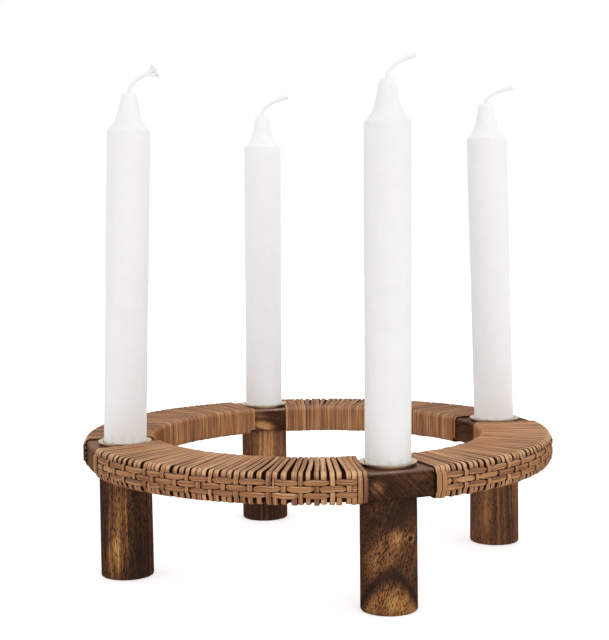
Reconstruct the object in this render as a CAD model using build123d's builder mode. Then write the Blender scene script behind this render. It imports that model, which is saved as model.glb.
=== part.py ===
"""Advent candle holder: a cane-wound wooden ring on four turned legs, with a candle in a metal cup over each leg.

The frame has its origin on the table under the ring's centre, with +Z up. The front socket is at -Y, the right
one at +X, the back one at +Y and the left one at -X. All lengths are in millimetres, all angles in degrees.
"""

import os
from math import asin, atan, cos, degrees, dist, radians, sin, tan

from build123d import *

os.makedirs("parts", exist_ok=True)

# Driving sizes of the ring
ring_outer_radius = 122.2
ring_width = 34.4
ring_thickness = 13.2
ring_edge_radius = 1.6
socket_inset = 18.2  # from the ring's outer edge to a socket's axis
socket_floor = 3.35  # wood left under the socket, which the leg's screw clamps

# Driving sizes of the legs
leg_height = 55.15
leg_top_radius = 13.35
leg_foot_radius = 13.5
leg_foot_edge = 1.0

# Driving sizes of the candles
candle_radius = 10.8
candle_length = 184.0
crown_height = 18.7
crown_ledge = 0.6
shoulder_bevel = 0.4
neck_radius = 4.0
neck_rounding = 2.3
neck_slope = 80.0  # of the crown's side below the neck's rounding, from level
crown_slope = 40.0  # of the crown's side where it starts from the shoulder
flute_count = 12
flute_length = 10.5
flute_depth = 0.7
flute_end_depth = 0.35
flute_radius = 3.0
wick_radius = 0.95

# Driving sizes of the candle cups
cup_wall = 0.4
cup_flange_width = 1.95
cup_flange_rise = 0.3
cup_mouth_rise = 0.8  # of the cup's mouth over the ring's top
cup_corner_radius = 1.2

# Driving sizes of the screws
screw_length = 40.0
screw_radius = 2.0
screw_head_radius = 4.0
screw_point_length = 6.0
screw_drive_width = 2.8
screw_drive_depth = 1.4
countersink_angle = 90.0

# Driving sizes of the dowels in the ring's joints
dowel_radius = 3.0
dowel_length = 24.0
dowel_spacing = 18.0

# Driving sizes of the cane
cane_thickness = 0.9
wrap_turns = 24
wrap_turn_gap = 0.5  # between turns on the ring's inner face, where they lie closest
weaver_rows = ("upper", "middle", "lower")
weaver_width = 2.5
weaver_row_gap = 0.25
covered_turns = 1  # turns at each end of a winding that pass over the weavers' ends
cane_tail_share = 0.6  # of the ring's underside, which the tail of a winding's last turn crosses

# Clearances
candle_clearance = 0.35  # round the candle in its cup
candle_seat_gap = 0.1  # between the candle's lowest edge and the cup's floor
cup_clearance = 0.1  # round the cup in its socket
cup_floor_gap = 0.4  # under the cup, over the screw's head
screw_clearance = 0.1
dowel_clearance = 0.1
wick_clearance = 0.1
wrap_clearance = 0.1  # between the wood, the winding and the weavers
wrap_end_clearance = 0.35  # between a winding's end and the cups' flanges

# Each socket: its place round the ring, the candle's lean, how far its flutes hold it off the cup's floor, and
# how far the wick's tip reaches out and up. The lean and the wick follow one heading, and a negative lean is
# away from it.
lean_heading = -18.0
sockets = {
    "front": {"angle": -90.0, "lean": 0.35, "stand": 1.5, "wick_reach": 12.7, "wick_rise": 10.9},
    "right": {"angle": 0.0, "lean": -1.4, "stand": 0.0, "wick_reach": 15.0, "wick_rise": 8.4},
    "back": {"angle": 90.0, "lean": 0.5, "stand": 0.0, "wick_reach": 15.4, "wick_rise": 10.8},
    "left": {"angle": 180.0, "lean": 1.9, "stand": 2.5, "wick_reach": 13.6, "wick_rise": 11.6},
}
quarters = {"front_right": -45.0, "back_right": 45.0, "back_left": 135.0, "front_left": 225.0}
quarter_turn = 360.0 / len(sockets)

# Points of a wick's free tip, as shares of its reach and of its rise
wick_tip_shares = ((0.03, 0.3), (0.32, 0.64), (0.64, 0.85), (1.0, 1.0))
wick_bend_share = 0.45  # of the shorter run beside a bend, which the bend's arc may use

# Sizes worked out from the driving ones
ring_inner_radius = ring_outer_radius - ring_width
ring_middle_radius = ring_outer_radius - ring_width / 2
socket_circle_radius = ring_outer_radius - socket_inset
ring_bottom = leg_height
ring_top = ring_bottom + ring_thickness
ring_middle_height = ring_bottom + ring_thickness / 2
socket_depth = ring_thickness - socket_floor
cup_depth = socket_depth - cup_floor_gap
cup_bore_radius = candle_radius + candle_clearance
cup_barrel_radius = cup_bore_radius + cup_wall
cup_flange_radius = cup_barrel_radius + cup_flange_width
socket_radius = cup_barrel_radius + cup_clearance
cup_floor_height = ring_top - cup_depth + cup_wall
cup_rim_height = cup_mouth_rise + cup_flange_rise
screw_head_height = (screw_head_radius - screw_radius) / tan(radians(countersink_angle / 2))
wrap_inside = wrap_clearance
wrap_outside = wrap_clearance + cane_thickness
bare_half_angle = degrees(asin((cup_flange_radius + wrap_end_clearance) / socket_circle_radius))
wrap_angle = quarter_turn - 2 * bare_half_angle
turn_pitch_angle = wrap_angle / wrap_turns
turn_gap_angle = 2 * degrees(asin(wrap_turn_gap / 2 / (ring_inner_radius - wrap_outside)))
strip_angle = turn_pitch_angle - turn_gap_angle
weaver_inner_radius = ring_outer_radius + wrap_outside + wrap_clearance
weaver_outer_radius = weaver_inner_radius + cane_thickness
weaver_pitch = weaver_width + weaver_row_gap
weaver_stack_height = len(weaver_rows) * weaver_pitch - weaver_row_gap
flute_taper = degrees(atan((flute_depth - flute_end_depth) / flute_length))
shoulder_height = candle_length - crown_height
neck_height = candle_length - neck_rounding * (1 - cos(radians(neck_slope)))
crown_flat_radius = neck_radius - neck_rounding * sin(radians(neck_slope))
candle_foot_bevel = cup_corner_radius


def radial_plane(angle):
    """Upright plane through the ring's axis: its x runs outward at this angle, its y runs up."""
    return Plane(
        origin=(0, 0, 0),
        x_dir=(cos(radians(angle)), sin(radians(angle)), 0),
        z_dir=(sin(radians(angle)), -cos(radians(angle)), 0),
    )


def socket_plane(angle, height):
    """Level plane centred on a socket's axis, with its x pointing outward."""
    outward = (cos(radians(angle)), sin(radians(angle)), 0)
    centre = (socket_circle_radius * outward[0], socket_circle_radius * outward[1], height)
    return Plane(origin=centre, x_dir=outward, z_dir=(0, 0, 1))


def profile_plane(base):
    """Plane for a turned piece's half profile: its x is the radius, its y the height along the base's axis."""
    return Plane(origin=base.origin, x_dir=base.x_dir, z_dir=-base.y_dir)


def candle_plane(socket):
    """Plane on a candle's foot, square to its axis, which leans about the middle of the cup's depth."""
    lean = radians(socket["lean"])
    heading = radians(lean_heading)
    axis = Vector(sin(lean) * cos(heading), sin(lean) * sin(heading), cos(lean))
    pivot = socket_plane(socket["angle"], ring_top - cup_depth / 2).origin
    foot_height = cup_floor_height + candle_seat_gap + socket["stand"] + candle_radius * abs(sin(lean))
    foot = pivot - axis * ((pivot.Z - foot_height) / axis.Z)
    toward_tip = Vector(cos(heading), sin(heading), 0)
    return Plane(origin=foot, x_dir=toward_tip - axis * toward_tip.dot(axis), z_dir=axis)


def downward(slope):
    """Direction outward and down, at this slope from level."""
    return (cos(radians(slope)), -sin(radians(slope)))


def save(part, name):
    """Names a finished piece and writes it to its own file."""
    part.label = name
    export_step(part, f"parts/{name}.step")


# Ring segments: one quarter of the ring each, with the socket in its middle and a joint at each end
for name, socket in sockets.items():
    start = socket["angle"] - quarter_turn / 2
    with BuildPart() as segment:
        with BuildSketch(radial_plane(start)):
            with Locations((ring_middle_radius, ring_middle_height)):
                RectangleRounded(ring_width, ring_thickness, ring_edge_radius)
        revolve(axis=Axis.Z, revolution_arc=quarter_turn)
        with BuildSketch(socket_plane(socket["angle"], ring_top)):
            Circle(socket_radius)
        extrude(amount=-socket_depth, mode=Mode.SUBTRACT)
        with Locations(socket_plane(socket["angle"], ring_bottom + socket_floor)):
            CounterSinkHole(
                radius=screw_radius + screw_clearance,
                counter_sink_radius=screw_head_radius + screw_clearance,
                depth=socket_floor,
                counter_sink_angle=countersink_angle,
            )
        for joint_angle, inward in ((start, -1), (start + quarter_turn, 1)):
            with BuildSketch(radial_plane(joint_angle)):
                with Locations((ring_middle_radius, ring_middle_height)):
                    with GridLocations(dowel_spacing, 0, 2, 1):
                        Circle(dowel_radius + dowel_clearance)
            extrude(amount=inward * (dowel_length / 2 + dowel_clearance), mode=Mode.SUBTRACT)
    save(segment.part, f"ring_segment_{name}")

# Dowels: two in each of the ring's joints, midway between the sockets
for name, joint_angle in quarters.items():
    with BuildPart() as dowels:
        with BuildSketch(radial_plane(joint_angle)):
            with Locations((ring_middle_radius, ring_middle_height)):
                with GridLocations(dowel_spacing, 0, 2, 1):
                    Circle(dowel_radius)
        extrude(amount=dowel_length / 2, both=True)
        chamfer(dowels.edges(), dowel_radius / 4)
    save(dowels.part, f"joint_dowels_{name}")

# Legs: turned, a little wider at the foot, with a pilot hole for the screw
for name, socket in sockets.items():
    with BuildPart() as leg:
        with BuildSketch(profile_plane(socket_plane(socket["angle"], 0))):
            with BuildLine():
                Polyline(
                    (0, 0),
                    (leg_foot_radius, 0),
                    (leg_top_radius, leg_height),
                    (0, leg_height),
                    close=True,
                )
            make_face()
        revolve(axis=Axis(socket_plane(socket["angle"], 0).origin, (0, 0, 1)))
        fillet(leg.faces().sort_by(Axis.Z)[0].edges(), leg_foot_edge)
        with Locations(socket_plane(socket["angle"], leg_height)):
            Hole(screw_radius + screw_clearance, depth=screw_length - socket_floor + screw_clearance)
    save(leg.part, f"leg_{name}")

# Screws: countersunk, driven through the socket's floor into the leg before the cup goes in
for name, socket in sockets.items():
    head_top = socket_plane(socket["angle"], ring_bottom + socket_floor)
    with BuildPart() as screw:
        with BuildSketch(profile_plane(head_top)):
            with BuildLine():
                Polyline(
                    (0, 0),
                    (screw_head_radius, 0),
                    (screw_radius, -screw_head_height),
                    (screw_radius, screw_point_length - screw_length),
                    (0, -screw_length),
                    close=True,
                )
            make_face()
        revolve(axis=Axis(head_top.origin, (0, 0, 1)))
        with BuildSketch(head_top):
            Rectangle(screw_drive_width, screw_drive_width)
        extrude(amount=-screw_drive_depth, mode=Mode.SUBTRACT)
    save(screw.part, f"leg_screw_{name}")

# Candle cups: drawn from thin sheet, standing a little proud of the ring, with a flange that lifts towards its edge
for name, socket in sockets.items():
    mouth = socket_plane(socket["angle"], ring_top)
    with BuildPart() as cup:
        with BuildSketch(profile_plane(mouth)):
            with BuildLine():
                Polyline(
                    (0, -cup_depth),
                    (cup_barrel_radius - cup_corner_radius, -cup_depth),
                    (cup_barrel_radius, cup_corner_radius - cup_depth),
                    (cup_barrel_radius, cup_mouth_rise),
                    (cup_flange_radius, cup_rim_height),
                    (cup_flange_radius, cup_rim_height + cup_wall),
                    (cup_bore_radius, cup_mouth_rise + cup_wall),
                    (cup_bore_radius, cup_corner_radius - cup_depth),
                    (cup_barrel_radius - cup_corner_radius, cup_wall - cup_depth),
                    (0, cup_wall - cup_depth),
                    close=True,
                )
            make_face()
        revolve(axis=Axis(mouth.origin, (0, 0, 1)))
    save(cup.part, f"candle_cup_{name}")

# Candles: a plain shaft, a crown drawn in to a neck, a fluted foot and a bore for the wick
for name, socket in sockets.items():
    foot = candle_plane(socket)
    with BuildPart() as candle:
        with BuildSketch(profile_plane(foot)):
            with BuildLine():
                Polyline(
                    (candle_radius - crown_ledge, shoulder_height),
                    (candle_radius, shoulder_height - shoulder_bevel),
                    (candle_radius, candle_foot_bevel),
                    (candle_radius - candle_foot_bevel, 0),
                    (0, 0),
                    (0, candle_length),
                    (crown_flat_radius, candle_length),
                )
                RadiusArc(
                    (crown_flat_radius, candle_length),
                    (neck_radius, neck_height),
                    neck_rounding,
                )
                Spline(
                    (neck_radius, neck_height),
                    (candle_radius - crown_ledge, shoulder_height),
                    tangents=(downward(neck_slope), downward(crown_slope)),
                )
            make_face()
        revolve(axis=Axis(foot.origin, foot.z_dir))
        with BuildSketch(foot):
            with PolarLocations(candle_radius - flute_depth + flute_radius, flute_count):
                Circle(flute_radius)
        extrude(amount=flute_length, taper=flute_taper, mode=Mode.SUBTRACT)
        with BuildSketch(foot):
            Circle(wick_radius + wick_clearance)
        extrude(amount=candle_length, mode=Mode.SUBTRACT)
    save(candle.part, f"candle_{name}")

# Wicks: straight through the candle, then bent over at the tip
for name, socket in sockets.items():
    foot = candle_plane(socket)
    tip = [
        (reach_share * socket["wick_reach"], candle_length + rise_share * socket["wick_rise"])
        for reach_share, rise_share in wick_tip_shares
    ]
    route = [(0, 0), (0, candle_length), *tip]
    bends = []
    for before, corner, after in zip(route, route[1:], route[2:]):
        leg_in = Vector(*corner) - Vector(*before)
        leg_out = Vector(*after) - Vector(*corner)
        turn = radians(leg_in.get_angle(leg_out))
        bends.append(wick_bend_share * min(leg_in.length, leg_out.length) / tan(turn / 2))
    print(f"wick_{name} bend radii", [round(bend, 2) for bend in bends])
    with BuildPart() as wick:
        with BuildLine(profile_plane(foot)) as path:
            FilletPolyline(*route, radius=bends)
        with BuildSketch(foot):
            Circle(wick_radius)
        sweep(path=path.line)
    save(wick.part, f"wick_{name}")


def wrap_turn(over_weavers, last=False):
    """One turn of a winding, its strip starting at angle 0: up inside, over and down outside, then back below.

    Below the ring it slants to the next turn's start, or ends in a tail if it is the last turn.
    """
    outer_width = ring_width + 2 * wrap_outside
    outer_height = ring_thickness + 2 * wrap_outside
    inner_width = ring_width + 2 * wrap_inside
    inner_height = ring_thickness + 2 * wrap_inside
    flat_width = ring_width - 2 * ring_edge_radius
    slant_inner_radius = ring_middle_radius - flat_width / 2
    slant_outer_radius = ring_middle_radius + flat_width / 2
    with BuildPart() as turn:
        with BuildSketch(radial_plane(0)):
            with Locations((ring_middle_radius, ring_middle_height)):
                RectangleRounded(outer_width, outer_height, ring_edge_radius + wrap_outside)
                if over_weavers:
                    reach = weaver_outer_radius + wrap_outside - ring_middle_radius
                    Rectangle(
                        reach,
                        weaver_stack_height + 2 * wrap_outside,
                        align=(Align.MIN, Align.CENTER),
                    )
                    Rectangle(
                        reach - cane_thickness,
                        weaver_stack_height + 2 * wrap_inside,
                        align=(Align.MIN, Align.CENTER),
                        mode=Mode.SUBTRACT,
                    )
                RectangleRounded(
                    inner_width, inner_height, ring_edge_radius + wrap_inside, mode=Mode.SUBTRACT
                )
                Rectangle(
                    flat_width, outer_height, align=(Align.CENTER, Align.MAX), mode=Mode.SUBTRACT
                )
        revolve(axis=Axis.Z, revolution_arc=strip_angle)
        with BuildSketch(Plane.XY.offset(ring_bottom - wrap_outside)):
            with BuildLine():
                outer_end = CenterArc((0, 0), slant_outer_radius, 0, strip_angle)
                if last:
                    tail_radius = slant_outer_radius - cane_tail_share * flat_width
                    inner_end = CenterArc((0, 0), tail_radius, 0, strip_angle)
                else:
                    inner_end = CenterArc((0, 0), slant_inner_radius, turn_pitch_angle, strip_angle)
                Line(outer_end @ 0, inner_end @ 0)
                Line(outer_end @ 1, inner_end @ 1)
            make_face()
        extrude(amount=cane_thickness)
    return turn.part


def least_turn_gap():
    """Least distance between a turn and the next one, measured on points along their facing edges."""
    steps = 60
    radius_in = ring_inner_radius - wrap_outside
    radius_out = ring_outer_radius + wrap_outside
    gaps = []
    for step in range(steps + 1):
        share = step / steps
        radius = radius_in + share * (radius_out - radius_in)
        for slant in (0, turn_pitch_angle * (1 - share)):
            near = radians(strip_angle + slant)
            point = (radius * cos(near), radius * sin(near))
            for other_step in range(steps + 1):
                other_share = other_step / steps
                other_radius = radius_in + other_share * (radius_out - radius_in)
                other_slant = turn_pitch_angle * (1 - other_share) if slant else 0
                far = radians(turn_pitch_angle + other_slant)
                gaps.append(dist(point, (other_radius * cos(far), other_radius * sin(far))))
    return min(gaps)


# Windings: one length of cane over each quarter of the ring, whose end turns pass over the weavers' ends
plain_turn = wrap_turn(over_weavers=False)
covering_turn = wrap_turn(over_weavers=True)
last_turn = wrap_turn(over_weavers=True, last=True)
turn_kinds = [covering_turn] * covered_turns
turn_kinds += [plain_turn] * (wrap_turns - 2 * covered_turns)
turn_kinds += [covering_turn] * (covered_turns - 1) + [last_turn]
for name, middle_angle in quarters.items():
    first = middle_angle - wrap_angle / 2 + turn_gap_angle / 2
    with BuildPart() as wrap:
        for count, turn_kind in enumerate(turn_kinds):
            with PolarLocations(0, 1, first + count * turn_pitch_angle):
                add(turn_kind)
    save(wrap.part, f"wrap_{name}")
print("least gap between turns of a winding", round(least_turn_gap(), 3))

# Weavers: three flat canes on the outer face of each winding, with their ends under its end turns
for name, middle_angle in quarters.items():
    for row, row_name in enumerate(weaver_rows):
        height = ring_middle_height + weaver_stack_height / 2 - weaver_width / 2 - row * weaver_pitch
        with BuildPart() as weaver:
            with BuildSketch(radial_plane(middle_angle - wrap_angle / 2 + turn_gap_angle)):
                with Locations(((weaver_inner_radius + weaver_outer_radius) / 2, height)):
                    Rectangle(cane_thickness, weaver_width)
            revolve(axis=Axis.Z, revolution_arc=wrap_angle - 2 * turn_gap_angle)
        save(weaver.part, f"weaver_{row_name}_{name}")
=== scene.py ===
# %% [markdown]
# # An advent candle holder, dressed in Blender
# The object is a dark wooden ring on four turned legs. Flat cane is wound over the ring between the legs
# and woven on its outer face, and a white candle stands in a metal cup over each leg. A CAD model already
# gives every piece its size and place. This lesson loads it as a fixed frame and gives each piece the looks
# of the real one: the CAD solids of wood, wax and metal keep their shape and get materials, while the cane
# and the wicks are built again as the woven and braided things that they are.

# %% Load the frame
import math
import random

import bpy
from mathutils import Matrix, Vector


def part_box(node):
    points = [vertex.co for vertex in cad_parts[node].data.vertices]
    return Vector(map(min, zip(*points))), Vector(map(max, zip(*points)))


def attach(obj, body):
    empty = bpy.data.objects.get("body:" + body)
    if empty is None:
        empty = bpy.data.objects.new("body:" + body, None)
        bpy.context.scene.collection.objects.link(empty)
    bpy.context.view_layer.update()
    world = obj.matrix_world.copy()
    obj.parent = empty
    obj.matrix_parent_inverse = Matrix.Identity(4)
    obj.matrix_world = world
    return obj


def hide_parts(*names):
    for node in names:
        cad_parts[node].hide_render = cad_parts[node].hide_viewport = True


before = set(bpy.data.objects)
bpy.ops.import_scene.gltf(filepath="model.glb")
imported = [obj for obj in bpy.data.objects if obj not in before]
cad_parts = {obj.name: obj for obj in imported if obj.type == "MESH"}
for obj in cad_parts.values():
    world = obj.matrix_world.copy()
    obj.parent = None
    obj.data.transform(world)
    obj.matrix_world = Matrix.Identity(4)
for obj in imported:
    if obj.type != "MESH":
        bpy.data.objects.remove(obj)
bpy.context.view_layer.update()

MM = 0.001  # Blender works in metres, and the sizes here are easier to read in millimetres

# %% [markdown]
# ## The camera
# A product picture is taken from a little above the ring with a longish lens, so that upright candles stay
# nearly parallel. The camera's place was found by fitting known edges of the object. Instead of aiming it at
# a target, it is turned by three angles: first its heading, then its downward pitch, then its small roll.

# %% Camera
CAMERA_PLACE = Vector((-225.2, -685.0, 184.3)) * MM
CAMERA_HEADING = math.radians(-17.705)
CAMERA_PITCH = math.radians(4.469)
CAMERA_ROLL = math.radians(-0.714)
LENS_LENGTH = 76.38
SENSOR_SIZE = 36.0
FARTHEST_SEEN = 20.0  # in metres


def add_object(name, data):
    """A new object in the scene."""
    made = bpy.data.objects.new(name, data)
    bpy.context.scene.collection.objects.link(made)
    return made


lens = bpy.data.cameras.new("product_lens")
lens.lens = LENS_LENGTH
lens.sensor_width = SENSOR_SIZE
lens.sensor_fit = "AUTO"
lens.clip_end = FARTHEST_SEEN
camera = add_object("product_camera", lens)
camera.matrix_world = (
    Matrix.Translation(CAMERA_PLACE)
    @ Matrix.Rotation(CAMERA_HEADING, 4, "Z")
    @ Matrix.Rotation(math.radians(90) - CAMERA_PITCH, 4, "X")
    @ Matrix.Rotation(CAMERA_ROLL, 4, "Z")
)
bpy.context.scene.camera = camera
print("camera at", [round(c / MM) for c in camera.location], "mm")

# %% [markdown]
# ## Helpers for materials
# Every finish below is a small tree of nodes. One function adds a node, sets its options and fills its
# inputs, either with a value or with a link from another node. Colours are written as the sRGB hex values
# that a paint chart would give, and one function turns them into the linear values that Blender works with.

# %% Node and colour helpers
WHITE = "#ffffff"


def linear(hex_colour):
    """Linear RGBA of an sRGB colour such as #a97b5b."""
    shares = [int(hex_colour[i : i + 2], 16) / 255 for i in (1, 3, 5)]
    return [c / 12.92 if c <= 0.04045 else ((c + 0.055) / 1.055) ** 2.4 for c in shares] + [1.0]


def add_node(tree, kind, inputs=None, **settings):
    """Adds a node of a kind. A key of inputs is a socket's name or number, a value may be another socket."""
    made = tree.nodes.new("ShaderNode" + kind)
    for name, value in settings.items():
        setattr(made, name, value)
    for key, value in (inputs or {}).items():
        if isinstance(value, bpy.types.NodeSocket):
            tree.links.new(value, made.inputs[key])
        else:
            made.inputs[key].default_value = value
    return made


def colour_stops(ramp, stops):
    """Fills a Color Ramp with (place, hex colour) stops."""
    points = ramp.color_ramp.elements
    while len(points) < len(stops):
        points.new(0.5)
    for point, (place, hex_colour) in zip(points, stops):
        point.position = place
        point.color = linear(hex_colour)
    return ramp


def new_material(name, **numbers):
    """A node material, with its tree and its Principled shader, whose inputs take these numbers."""
    material = bpy.data.materials.new(name)
    material.use_nodes = True
    tree = material.node_tree
    shader = tree.nodes["Principled BSDF"]
    for key, value in numbers.items():
        shader.inputs[key.replace("_", " ")].default_value = value
    return material, tree, shader


def mottle(tree, shader, size, detail, stops):
    """Colours a shader unevenly, in spots of a size in millimetres, and gives their pattern back."""
    place = add_node(tree, "TexCoord").outputs["Object"]
    spots = add_node(tree, "TexNoise", {"Vector": place, "Scale": 1 / (size * MM), "Detail": detail})
    spots = spots.outputs["Fac"]
    tint = colour_stops(add_node(tree, "ValToRGB", {"Fac": spots}), stops)
    tree.links.new(tint.outputs["Color"], shader.inputs["Base Color"])
    return spots


def add_gloss(tree, shader, share, roughness, normal, colour=WHITE):
    """Lays a thin gloss over a shader.

    Its share is the same from every side. So it glints where a surface bends towards a lamp, and no pale haze
    of the white room grows on faces that are seen edgewise.
    """
    shader.inputs["Specular IOR Level"].default_value = 0.0
    glint = add_node(tree, "BsdfAnisotropic", {"Roughness": roughness, "Normal": normal})
    glint.inputs["Color"].default_value = linear(colour)
    both = add_node(tree, "MixShader", {"Fac": share, 1: shader.outputs["BSDF"], 2: glint.outputs["BSDF"]})
    tree.links.new(both.outputs["Shader"], tree.nodes["Material Output"].inputs["Surface"])


def wear(node_name, material):
    """Gives a CAD node's object this material in all its slots."""
    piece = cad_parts[node_name]
    for place in range(len(piece.data.materials)):
        piece.data.materials[place] = material


print("helpers ready")

# %% [markdown]
# ## Floor, world and lamps
# The picture has a pure white ground, so the floor is a large white sheet. For rays from the camera, and for
# reflections, it also glows a little, which lifts it to white while the shadow under the legs stays. The
# light itself is plain: an even white world, a small lamp overhead that draws a line of light along the
# cane's upper edges, and a broad one from the front right that shapes the candles.

# %% Floor and world
FLOOR_SIZE = 6000 * MM
FLOOR_GLOW = 0.45
PAPER_GRAIN = 40.0
WORLD_LEVEL = 0.9


def seen_directly(tree):
    """1 for rays from the camera, and for what it sees in a mirror or through glass, and else 0."""
    ray = add_node(tree, "LightPath").outputs
    pair = {0: ray["Is Camera Ray"], 1: ray["Is Glossy Ray"]}
    seen = add_node(tree, "Math", pair, operation="MAXIMUM").outputs[0]
    pair = {0: seen, 1: ray["Is Transmission Ray"]}
    return add_node(tree, "Math", pair, operation="MAXIMUM").outputs[0]


floor_finish, tree, shader = new_material("matt_white_paper_sweep", Roughness=0.9, Specular_IOR_Level=0.1)
mottle(tree, shader, PAPER_GRAIN, 4.0, [(0.3, "#f7f7f7"), (0.7, "#fbfbfb")])
glow = add_node(tree, "Math", {0: seen_directly(tree), 1: FLOOR_GLOW}, operation="MULTIPLY")
shader.inputs["Emission Color"].default_value = linear(WHITE)
tree.links.new(glow.outputs[0], shader.inputs["Emission Strength"])

half = FLOOR_SIZE / 2
sheet = bpy.data.meshes.new("paper_sweep")
corners = [(-half, -half, 0), (half, -half, 0), (half, half, 0), (-half, half, 0)]
sheet.from_pydata(corners, [], [(0, 1, 2, 3)])
sheet.materials.append(floor_finish)
floor = add_object("paper_sweep", sheet)

world = bpy.data.worlds.new("white_studio")
bpy.context.scene.world = world
world.use_nodes = True
sky = world.node_tree
level = {"Value": seen_directly(sky), "To Min": WORLD_LEVEL, "To Max": 1.0}
level = add_node(sky, "MapRange", level)
sky.nodes["Background"].inputs["Color"].default_value = linear(WHITE)
sky.links.new(level.outputs["Result"], sky.nodes["Background"].inputs["Strength"])
bpy.context.scene.view_settings.view_transform = "Standard"
print("floor", FLOOR_SIZE, "m across, world level", WORLD_LEVEL)

# %% Lamps
LAMP_AIM = Vector((0, 0, 100)) * MM
LAMPS = {  # heading from the viewer's right, height angle, distance and size in mm, power in watts
    "top_softbox": {"heading": 39, "height": 60, "away": 900, "size": 60, "power": 0.4},
    "front_softbox": {"heading": 75, "height": 20, "away": 2000, "size": 900, "power": 4.0},
}
for name, lamp in LAMPS.items():
    light = bpy.data.lights.new(name, "AREA")
    light.energy = lamp["power"]
    light.size = lamp["size"] * MM
    softbox = add_object(name, light)
    turn = CAMERA_HEADING - math.radians(lamp["heading"])
    rise = math.radians(lamp["height"])
    toward = Vector((math.cos(turn) * math.cos(rise), math.sin(turn) * math.cos(rise), math.sin(rise)))
    softbox.location = toward * lamp["away"] * MM + LAMP_AIM
    softbox.rotation_euler = toward.to_track_quat("Z", "Y").to_euler()
    print(name, "at", [round(c, 2) for c in softbox.location])

# %% [markdown]
# ## Stained acacia
# The legs and the ring are a dark stained hardwood such as acacia: almost black heartwood with flashes of
# golden sapwood, fine short pores along the grain, and a satin oil finish. A picture of wood would look
# pasted on, so the figure is solid: growth rings are the distance from a pith line beside the piece, warped
# by noise, and the pores are noise stretched along the grain. Turned pieces then show the right figure on
# every side. Each piece gets its own golden places, because no two are cut alike.

# %% Stained acacia
RING_SPACING = 2.6
RING_GRIT = 0.72  # how much of the rings is fine detail
PITH_PLACE = (26.0, 18.0, 0.0)
PORE_WIDTH = 0.4  # real pores are about 0.2 mm wide, and are drawn wider so that they show
PORE_LENGTH = 2.6
PORE_ENDS = (0.36, 0.52)
PORE_BUMP = 0.35
PORE_DEPTH = 0.12
OILED_ROUGHNESS = (0.68, 0.5)  # in the pores and between them
RUBBED_ROUGHNESS = (0.3, 0.14)
SATIN_GLOSS = 0.008
TOP_GLOSS = 0.2  # on the blocks' tops, which dusting keeps polished
FIGURE_WIDTH = 15.0
FIGURE_LENGTH = 60.0
WARP = 9.0  # how far the figure wanders
SWIRL_SCALE = 0.8
CLOUD_SCALE = 1.7
CLOUD_DEPTH = 0.7
FLASH_ENDS = (1.0, 0.25)  # from a flash's rim to where it has its full strength, as shares
THROUGH = 1e6  # flashes go right through a piece
ARCH_ENDS = (-0.5, -7.0)  # below an arch's line, where its sapwood starts and where it has its full colour
ARCH_RIM = 1.2  # above that line, where the dark rim lies
ARCH_RIM_ENDS = (3.6, 0.4)
ARCH_RIM_SHARE = -0.7
HIDDEN_FADE = 1.5
# How much darker the wood under the cane is painted, as the shade in the gaps between strips
UNDER_CANE_PAINTED_SHADE = -0.5
GOLDEN_STOPS = [(0.0, "#24150d"), (0.25, "#3d2617"), (0.5, "#653f27"), (0.75, "#96663a"), (1.0, "#c29355")]
REDDISH_STOPS = [(0.0, "#28160e"), (0.25, "#43291b"), (0.5, "#67432e"), (0.75, "#946540"), (1.0, "#c4905f")]


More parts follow.
